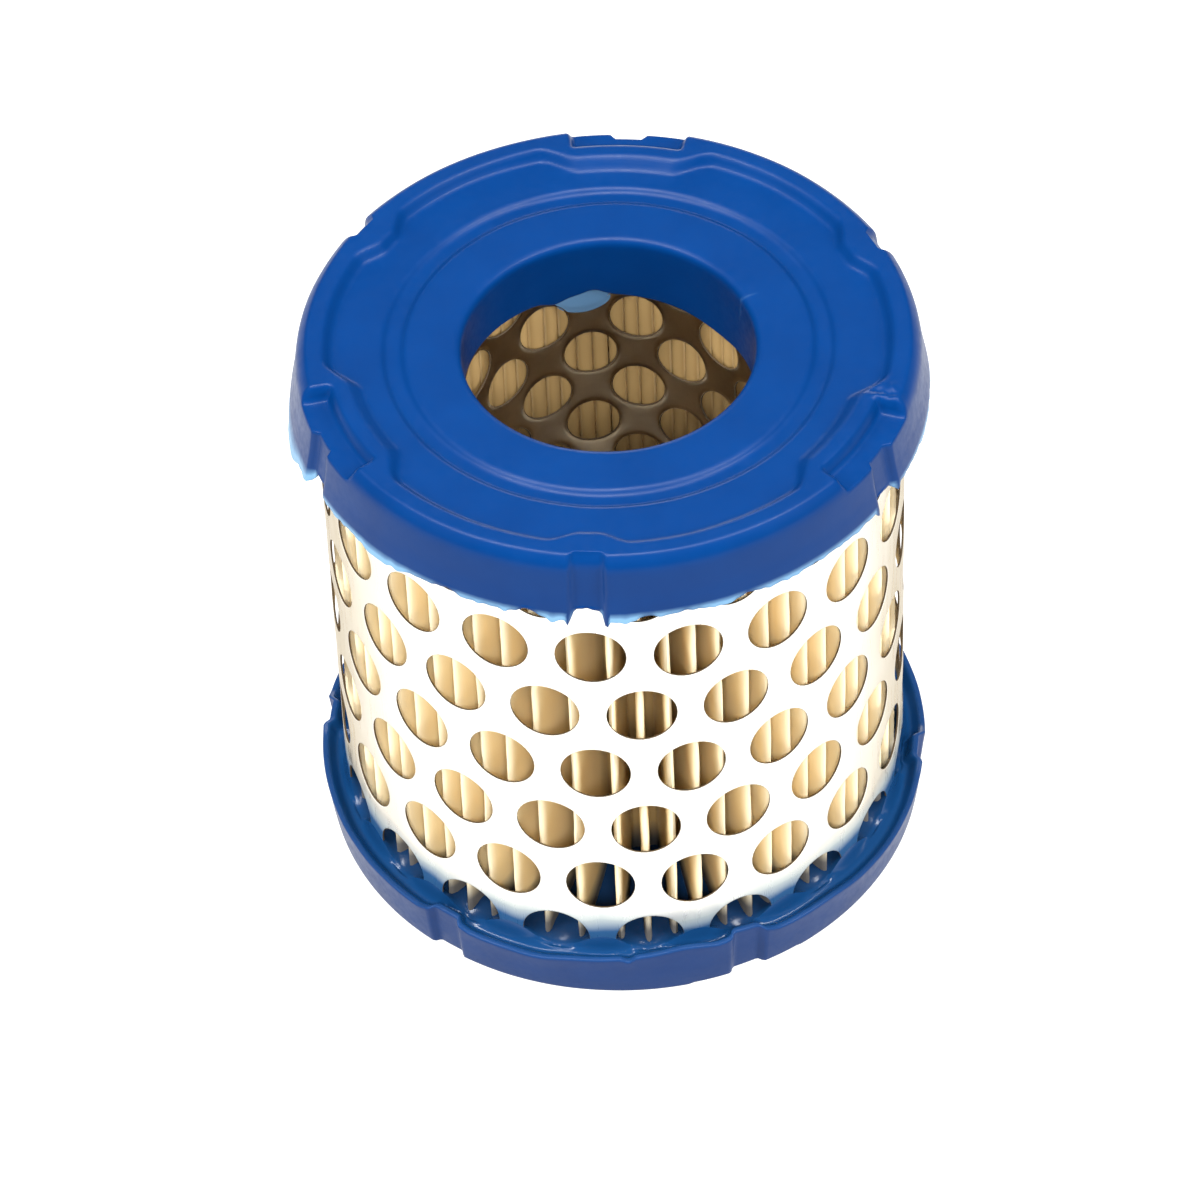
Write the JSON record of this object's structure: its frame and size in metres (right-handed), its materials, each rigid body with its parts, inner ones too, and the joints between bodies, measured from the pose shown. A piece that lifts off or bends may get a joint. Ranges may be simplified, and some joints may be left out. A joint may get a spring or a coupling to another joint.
{
  "type": "air filter cartridge",
  "caption": "Round pleated-paper air filter cartridge for a small engine, with soft blue moulded end caps, a perforated metal wrap and a perforated inner tube around an open bore.",
  "frame": {"origin": "centre of the bottom face, on the axis of the bore", "axes": "+Z along the bore from the bottom end cap to the top end cap; -Y faces the viewer of the picture"},
  "size_m": [0.0865, 0.0866, 0.0863],
  "materials": {
    "end_cap": "soft moulded plastisol, satin",
    "wrap_tinplate": "bright tinplate",
    "tube_tinplate": "dull tinplate",
    "filter_paper": "matt resin-treated filter paper"
  },
  "bodies": {
    "root": {"top_end_cap": "end_cap", "bottom_end_cap": "end_cap", "outer_wrap": "wrap_tinplate", "inner_tube": "tube_tinplate", "pleated_paper": "filter_paper", "pleat_seam_clip": "tube_tinplate"}
  },
  "joints": []
}
